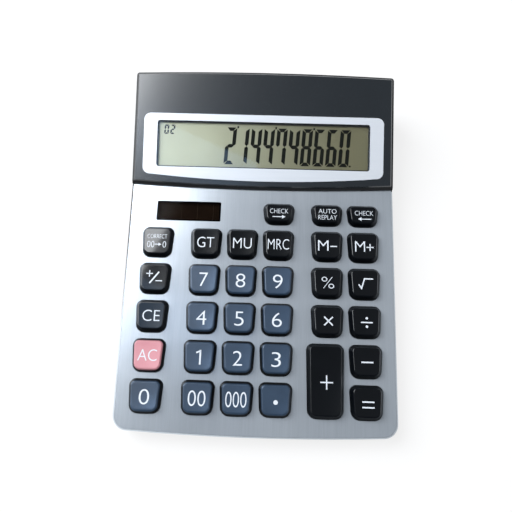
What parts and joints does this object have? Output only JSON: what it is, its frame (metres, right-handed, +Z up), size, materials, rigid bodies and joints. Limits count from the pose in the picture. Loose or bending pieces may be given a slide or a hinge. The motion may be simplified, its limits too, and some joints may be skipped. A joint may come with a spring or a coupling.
{
  "type": "desk calculator",
  "caption": "Wedge-shaped desk calculator with a tilted display, solar cell, push keys and a battery door underneath.",
  "frame": {"origin": "centre of the bounding box on the table, at the underside of the rubber feet", "axes": "+X to the user's right, +Y from the user towards the display, +Z up off the table"},
  "size_m": [0.1484, 0.2004, 0.0388],
  "materials": {
    "case_black": "fine moulded texture",
    "brushed_plate": "brushed lengthwise, satin lacquer",
    "panel_grey": "glossy",
    "frame_silver": "satin, brushed across",
    "clear_window": "clear, polished",
    "lcd_glass": "clear",
    "lcd_backing": "satin reflector film",
    "contact_rubber": "smooth",
    "circuit_board": "solder mask",
    "ribbon": "smooth film",
    "solar_cell": "dark brown cell under glass",
    "chip_resin": "cured resin",
    "component_body": "dipped",
    "mat_rubber": "silicone",
    "battery_jacket": "plain printed sleeve",
    "contact_metal": "nickel plated",
    "lead_red": "insulation",
    "lead_black": "insulation",
    "foot_rubber": "matt",
    "screw_steel": "zinc plated",
    "key_slate": "satin moulded, printed legend",
    "key_black": "satin moulded, printed legend",
    "key_pink": "satin moulded, printed legend"
  },
  "bodies": {
    "case": {"upper_case": "case_black", "lower_case": "case_black", "face_plate": "brushed_plate", "display_panel": "panel_grey", "display_frame": "frame_silver", "display_lens": "clear_window", "lcd_glass": "lcd_glass", "lcd_reflector": "lcd_backing", "lcd_connectors": "contact_rubber", "lcd_board": "circuit_board", "main_board": "circuit_board", "ribbon_cable": "ribbon", "solar_cell": "solar_cell", "solar_window": "clear_window", "solar_leads": "lead_black", "chip": "chip_resin", "board_components": "component_body", "key_mat": "mat_rubber", "battery": "battery_jacket", "positive_contact": "contact_metal", "negative_contact": "contact_metal", "red_lead": "lead_red", "black_lead": "lead_black", "rubber_feet": "foot_rubber", "case_screws": "screw_steel", "board_screws": "screw_steel"},
    "battery_door": {"battery_door": "case_black"},
    "key_check_forward": {"key_check_forward": "key_black"},
    "key_auto_replay": {"key_auto_replay": "key_black"},
    "key_check_back": {"key_check_back": "key_black"},
    "key_correct": {"key_correct": "key_black"},
    "key_grand_total": {"key_grand_total": "key_black"},
    "key_mark_up": {"key_mark_up": "key_black"},
    "key_memory_recall": {"key_memory_recall": "key_black"},
    "key_memory_minus": {"key_memory_minus": "key_black"},
    "key_memory_plus": {"key_memory_plus": "key_black"},
    "key_sign": {"key_sign": "key_black"},
    "key_7": {"key_7": "key_slate"},
    "key_8": {"key_8": "key_slate"},
    "key_9": {"key_9": "key_slate"},
    "key_percent": {"key_percent": "key_black"},
    "key_root": {"key_root": "key_black"},
    "key_clear_entry": {"key_clear_entry": "key_black"},
    "key_4": {"key_4": "key_slate"},
    "key_5": {"key_5": "key_slate"},
    "key_6": {"key_6": "key_slate"},
    "key_multiply": {"key_multiply": "key_black"},
    "key_divide": {"key_divide": "key_black"},
    "key_all_clear": {"key_all_clear": "key_pink"},
    "key_1": {"key_1": "key_slate"},
    "key_2": {"key_2": "key_slate"},
    "key_3": {"key_3": "key_slate"},
    "key_minus": {"key_minus": "key_black"},
    "key_0": {"key_0": "key_slate"},
    "key_00": {"key_00": "key_slate"},
    "key_000": {"key_000": "key_slate"},
    "key_point": {"key_point": "key_slate"},
    "key_equals": {"key_equals": "key_black"},
    "key_plus": {"key_plus": "key_black"}
  },
  "joints": [
    {"name": "press_key_check_forward", "type": "slide", "parent": "case", "child": "key_check_forward", "axis": [0, 0.0523, -0.9986], "range_m": [0, 0.002], "stiffness_N_per_m": 300, "springref_m": -0.0015, "deforming": ["key_mat"]},
    {"name": "press_key_auto_replay", "type": "slide", "parent": "case", "child": "key_auto_replay", "axis": [0, 0.0523, -0.9986], "range_m": [0, 0.002], "stiffness_N_per_m": 300, "springref_m": -0.0015, "deforming": ["key_mat"]},
    {"name": "press_key_check_back", "type": "slide", "parent": "case", "child": "key_check_back", "axis": [0, 0.0523, -0.9986], "range_m": [0, 0.002], "stiffness_N_per_m": 300, "springref_m": -0.0015, "deforming": ["key_mat"]},
    {"name": "press_key_correct", "type": "slide", "parent": "case", "child": "key_correct", "axis": [0, 0.0523, -0.9986], "range_m": [0, 0.002], "stiffness_N_per_m": 300, "springref_m": -0.0015, "deforming": ["key_mat"]},
    {"name": "press_key_grand_total", "type": "slide", "parent": "case", "child": "key_grand_total", "axis": [0, 0.0523, -0.9986], "range_m": [0, 0.002], "stiffness_N_per_m": 300, "springref_m": -0.0015, "deforming": ["key_mat"]},
    {"name": "press_key_mark_up", "type": "slide", "parent": "case", "child": "key_mark_up", "axis": [0, 0.0523, -0.9986], "range_m": [0, 0.002], "stiffness_N_per_m": 300, "springref_m": -0.0015, "deforming": ["key_mat"]},
    {"name": "press_key_memory_recall", "type": "slide", "parent": "case", "child": "key_memory_recall", "axis": [0, 0.0523, -0.9986], "range_m": [0, 0.002], "stiffness_N_per_m": 300, "springref_m": -0.0015, "deforming": ["key_mat"]},
    {"name": "press_key_memory_minus", "type": "slide", "parent": "case", "child": "key_memory_minus", "axis": [0, 0.0523, -0.9986], "range_m": [0, 0.002], "stiffness_N_per_m": 300, "springref_m": -0.0015, "deforming": ["key_mat"]},
    {"name": "press_key_memory_plus", "type": "slide", "parent": "case", "child": "key_memory_plus", "axis": [0, 0.0523, -0.9986], "range_m": [0, 0.002], "stiffness_N_per_m": 300, "springref_m": -0.0015, "deforming": ["key_mat"]},
    {"name": "press_key_sign", "type": "slide", "parent": "case", "child": "key_sign", "axis": [0, 0.0523, -0.9986], "range_m": [0, 0.002], "stiffness_N_per_m": 300, "springref_m": -0.0015, "deforming": ["key_mat"]},
    {"name": "press_key_7", "type": "slide", "parent": "case", "child": "key_7", "axis": [0, 0.0523, -0.9986], "range_m": [0, 0.002], "stiffness_N_per_m": 300, "springref_m": -0.0015, "deforming": ["key_mat"]},
    {"name": "press_key_8", "type": "slide", "parent": "case", "child": "key_8", "axis": [0, 0.0523, -0.9986], "range_m": [0, 0.002], "stiffness_N_per_m": 300, "springref_m": -0.0015, "deforming": ["key_mat"]},
    {"name": "press_key_9", "type": "slide", "parent": "case", "child": "key_9", "axis": [0, 0.0523, -0.9986], "range_m": [0, 0.002], "stiffness_N_per_m": 300, "springref_m": -0.0015, "deforming": ["key_mat"]},
    {"name": "press_key_percent", "type": "slide", "parent": "case", "child": "key_percent", "axis": [0, 0.0523, -0.9986], "range_m": [0, 0.002], "stiffness_N_per_m": 300, "springref_m": -0.0015, "deforming": ["key_mat"]},
    {"name": "press_key_root", "type": "slide", "parent": "case", "child": "key_root", "axis": [0, 0.0523, -0.9986], "range_m": [0, 0.002], "stiffness_N_per_m": 300, "springref_m": -0.0015, "deforming": ["key_mat"]},
    {"name": "press_key_clear_entry", "type": "slide", "parent": "case", "child": "key_clear_entry", "axis": [0, 0.0523, -0.9986], "range_m": [0, 0.002], "stiffness_N_per_m": 300, "springref_m": -0.0015, "deforming": ["key_mat"]},
    {"name": "press_key_4", "type": "slide", "parent": "case", "child": "key_4", "axis": [0, 0.0523, -0.9986], "range_m": [0, 0.002], "stiffness_N_per_m": 300, "springref_m": -0.0015, "deforming": ["key_mat"]},
    {"name": "press_key_5", "type": "slide", "parent": "case", "child": "key_5", "axis": [0, 0.0523, -0.9986], "range_m": [0, 0.002], "stiffness_N_per_m": 300, "springref_m": -0.0015, "deforming": ["key_mat"]},
    {"name": "press_key_6", "type": "slide", "parent": "case", "child": "key_6", "axis": [0, 0.0523, -0.9986], "range_m": [0, 0.002], "stiffness_N_per_m": 300, "springref_m": -0.0015, "deforming": ["key_mat"]},
    {"name": "press_key_multiply", "type": "slide", "parent": "case", "child": "key_multiply", "axis": [0, 0.0523, -0.9986], "range_m": [0, 0.002], "stiffness_N_per_m": 300, "springref_m": -0.0015, "deforming": ["key_mat"]},
    {"name": "press_key_divide", "type": "slide", "parent": "case", "child": "key_divide", "axis": [0, 0.0523, -0.9986], "range_m": [0, 0.002], "stiffness_N_per_m": 300, "springref_m": -0.0015, "deforming": ["key_mat"]},
    {"name": "press_key_all_clear", "type": "slide", "parent": "case", "child": "key_all_clear", "axis": [0, 0.0523, -0.9986], "range_m": [0, 0.002], "stiffness_N_per_m": 300, "springref_m": -0.0015, "deforming": ["key_mat"]},
    {"name": "press_key_1", "type": "slide", "parent": "case", "child": "key_1", "axis": [0, 0.0523, -0.9986], "range_m": [0, 0.002], "stiffness_N_per_m": 300, "springref_m": -0.0015, "deforming": ["key_mat"]},
    {"name": "press_key_2", "type": "slide", "parent": "case", "child": "key_2", "axis": [0, 0.0523, -0.9986], "range_m": [0, 0.002], "stiffness_N_per_m": 300, "springref_m": -0.0015, "deforming": ["key_mat"]},
    {"name": "press_key_3", "type": "slide", "parent": "case", "child": "key_3", "axis": [0, 0.0523, -0.9986], "range_m": [0, 0.002], "stiffness_N_per_m": 300, "springref_m": -0.0015, "deforming": ["key_mat"]},
    {"name": "press_key_minus", "type": "slide", "parent": "case", "child": "key_minus", "axis": [0, 0.0523, -0.9986], "range_m": [0, 0.002], "stiffness_N_per_m": 300, "springref_m": -0.0015, "deforming": ["key_mat"]},
    {"name": "press_key_0", "type": "slide", "parent": "case", "child": "key_0", "axis": [0, 0.0523, -0.9986], "range_m": [0, 0.002], "stiffness_N_per_m": 300, "springref_m": -0.0015, "deforming": ["key_mat"]},
    {"name": "press_key_00", "type": "slide", "parent": "case", "child": "key_00", "axis": [0, 0.0523, -0.9986], "range_m": [0, 0.002], "stiffness_N_per_m": 300, "springref_m": -0.0015, "deforming": ["key_mat"]},
    {"name": "press_key_000", "type": "slide", "parent": "case", "child": "key_000", "axis": [0, 0.0523, -0.9986], "range_m": [0, 0.002], "stiffness_N_per_m": 300, "springref_m": -0.0015, "deforming": ["key_mat"]},
    {"name": "press_key_point", "type": "slide", "parent": "case", "child": "key_point", "axis": [0, 0.0523, -0.9986], "range_m": [0, 0.002], "stiffness_N_per_m": 300, "springref_m": -0.0015, "deforming": ["key_mat"]},
    {"name": "press_key_equals", "type": "slide", "parent": "case", "child": "key_equals", "axis": [0, 0.0523, -0.9986], "range_m": [0, 0.002], "stiffness_N_per_m": 300, "springref_m": -0.0015, "deforming": ["key_mat"]},
    {"name": "press_key_plus", "type": "slide", "parent": "case", "child": "key_plus", "axis": [0, 0.0523, -0.9986], "range_m": [0, 0.002], "stiffness_N_per_m": 300, "springref_m": -0.0015, "deforming": ["key_mat"]},
    {"name": "slide_battery_door", "type": "slide", "parent": "case", "child": "battery_door", "axis": [0, 1, 0], "range_m": [0, 0.018]}
  ]
}
